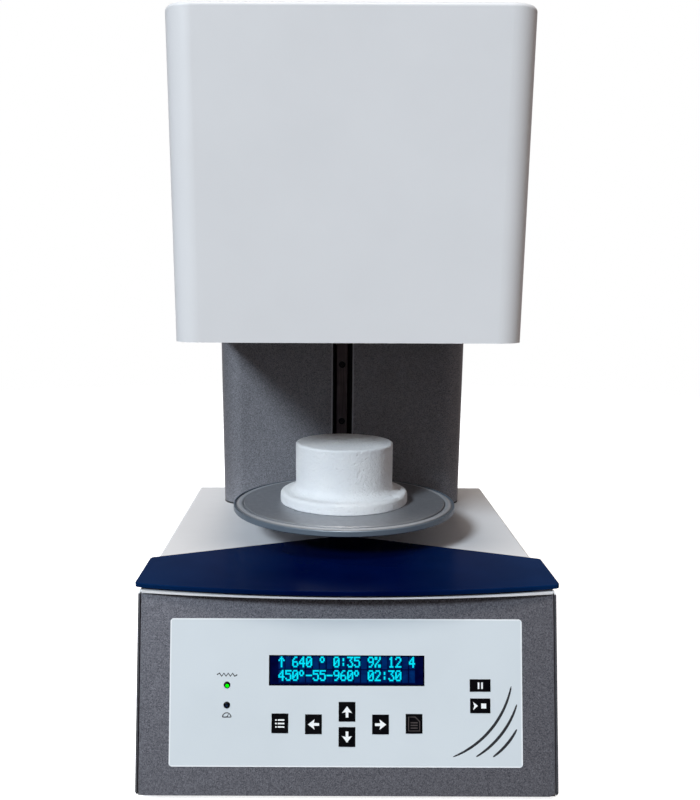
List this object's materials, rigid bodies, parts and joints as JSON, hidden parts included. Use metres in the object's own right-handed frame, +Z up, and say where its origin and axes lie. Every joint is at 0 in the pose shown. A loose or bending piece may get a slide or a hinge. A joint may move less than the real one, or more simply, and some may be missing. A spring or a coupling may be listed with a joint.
{
  "type": "dental porcelain furnace",
  "caption": "Bench furnace for firing dental ceramics: a motor lift raises a round platform and firing table into a fixed muffle head above a console base with keypad and display.",
  "frame": {"origin": "on the floor under the middle of the furnace's bounding box, which is also straight under the lift platform's axis", "axes": "+Z up, +X to the furnace's right-hand side seen from the front, the front and keypad face -Y"},
  "size_m": [0.3254, 0.3964, 0.576],
  "materials": {
    "white_paint": "satin",
    "grey_metallic_paint": "satin",
    "grey_platform_paint": "satin",
    "navy_acrylic": "gloss",
    "overlay_film": "satin",
    "key_black": "satin",
    "display_lens": "gloss",
    "display_glass": "gloss",
    "lamp_green": "gloss",
    "lamp_dark": "gloss",
    "circuit_board": "satin",
    "black_plastic": "matte",
    "winding_tape": "satin",
    "bright_steel": "satin",
    "black_steel": "satin",
    "cast_aluminium": "matte",
    "heatsink_aluminium": "satin",
    "bronze": "satin",
    "nickel_brass": "satin",
    "table_ceramic": "matte",
    "fibre_insulation": "matte",
    "steatite": "matte",
    "heater_quartz": "satin",
    "rubber_black": "matte",
    "silicone_red": "satin",
    "silicone_clear": "satin"
  },
  "bodies": {
    "root": {"base_cover": "white_paint", "base_pan": "bright_steel", "can_seal": "silicone_red", "case_screws": "bright_steel", "column_back": "grey_metallic_paint", "column_shell": "grey_metallic_paint", "control_board": "circuit_board", "display_module": "display_glass", "display_window": "display_lens", "feet": "rubber_black", "front_panel": "grey_metallic_paint", "head_back": "white_paint", "head_floor": "bright_steel", "head_hood": "white_paint", "heater_coil": "heater_quartz", "heater_relay": "black_plastic", "insulation_cap": "fibre_insulation", "insulation_foot": "fibre_insulation", "insulation_ring": "fibre_insulation", "keypad_board": "circuit_board", "keypad_overlay": "overlay_film", "lamp_heat": "lamp_green", "lamp_vacuum": "lamp_dark", "lift_motor": "black_steel", "linear_rail": "black_steel", "mast_frame": "black_steel", "muffle_can": "bright_steel", "power_inlet": "black_plastic", "pump_outlet": "black_plastic", "rail_screws": "black_steel", "rear_panel": "grey_metallic_paint", "relay_heatsink": "heatsink_aluminium", "rocker_frame": "black_plastic", "screw_bearings": "cast_aluminium", "terminal_block": "steatite", "thermocouple": "steatite", "transformer": "winding_tape", "vacuum_hose": "silicone_clear", "vacuum_nipple": "nickel_brass", "vacuum_valve": "nickel_brass", "visor": "navy_acrylic", "visor_pads": "silicone_clear"},
    "lift": {"carriage": "bright_steel", "carriage_screws": "black_steel", "lift_arm": "cast_aluminium", "lift_nut": "bronze", "platform": "grey_platform_paint", "firing_table": "table_ceramic"},
    "spindle": {"lead_screw": "bright_steel", "shaft_coupling": "cast_aluminium", "motor_shaft": "bright_steel"},
    "power_rocker": {"rocker_key": "black_plastic"},
    "body_program": {"key_program": "key_black"},
    "body_left": {"key_left": "key_black"},
    "body_up": {"key_up": "key_black"},
    "body_down": {"key_down": "key_black"},
    "body_right": {"key_right": "key_black"},
    "body_memory": {"key_memory": "key_black"},
    "body_pause": {"key_pause": "key_black"},
    "body_start_stop": {"key_start_stop": "key_black"}
  },
  "joints": [
    {"name": "lift_slide", "type": "slide", "parent": "root", "child": "lift", "axis": [0, 0, 1], "range_m": [0, 0.1548]},
    {"name": "screw_spin", "type": "hinge", "parent": "root", "child": "spindle", "pos_m": [0.04, 0.13, 0], "axis": [0, 0, 1], "range_deg": [-5, 6971]},
    {"name": "power_rock", "type": "hinge", "parent": "root", "child": "power_rocker", "pos_m": [0.112, 0.185, 0.1], "axis": [1, 0, 0], "range_deg": [-20, 0]},
    {"name": "program_press", "type": "slide", "parent": "root", "child": "body_program", "axis": [0, 0.9573, -0.2891], "range_m": [0, 0.0004], "stiffness_N_per_m": 2500},
    {"name": "left_press", "type": "slide", "parent": "root", "child": "body_left", "axis": [0, 0.9573, -0.2891], "range_m": [0, 0.0004], "stiffness_N_per_m": 2500},
    {"name": "up_press", "type": "slide", "parent": "root", "child": "body_up", "axis": [0, 0.9573, -0.2891], "range_m": [0, 0.0004], "stiffness_N_per_m": 2500},
    {"name": "down_press", "type": "slide", "parent": "root", "child": "body_down", "axis": [0, 0.9573, -0.2891], "range_m": [0, 0.0004], "stiffness_N_per_m": 2500},
    {"name": "right_press", "type": "slide", "parent": "root", "child": "body_right", "axis": [0, 0.9573, -0.2891], "range_m": [0, 0.0004], "stiffness_N_per_m": 2500},
    {"name": "memory_press", "type": "slide", "parent": "root", "child": "body_memory", "axis": [0, 0.9573, -0.2891], "range_m": [0, 0.0004], "stiffness_N_per_m": 2500},
    {"name": "pause_press", "type": "slide", "parent": "root", "child": "body_pause", "axis": [0, 0.9573, -0.2891], "range_m": [0, 0.0004], "stiffness_N_per_m": 2500},
    {"name": "start_stop_press", "type": "slide", "parent": "root", "child": "body_start_stop", "axis": [0, 0.9573, -0.2891], "range_m": [0, 0.0004], "stiffness_N_per_m": 2500}
  ],
  "couplings": [
    {"joint": "screw_spin", "follows": "lift_slide", "rad_per_m": 785.4}
  ]
}
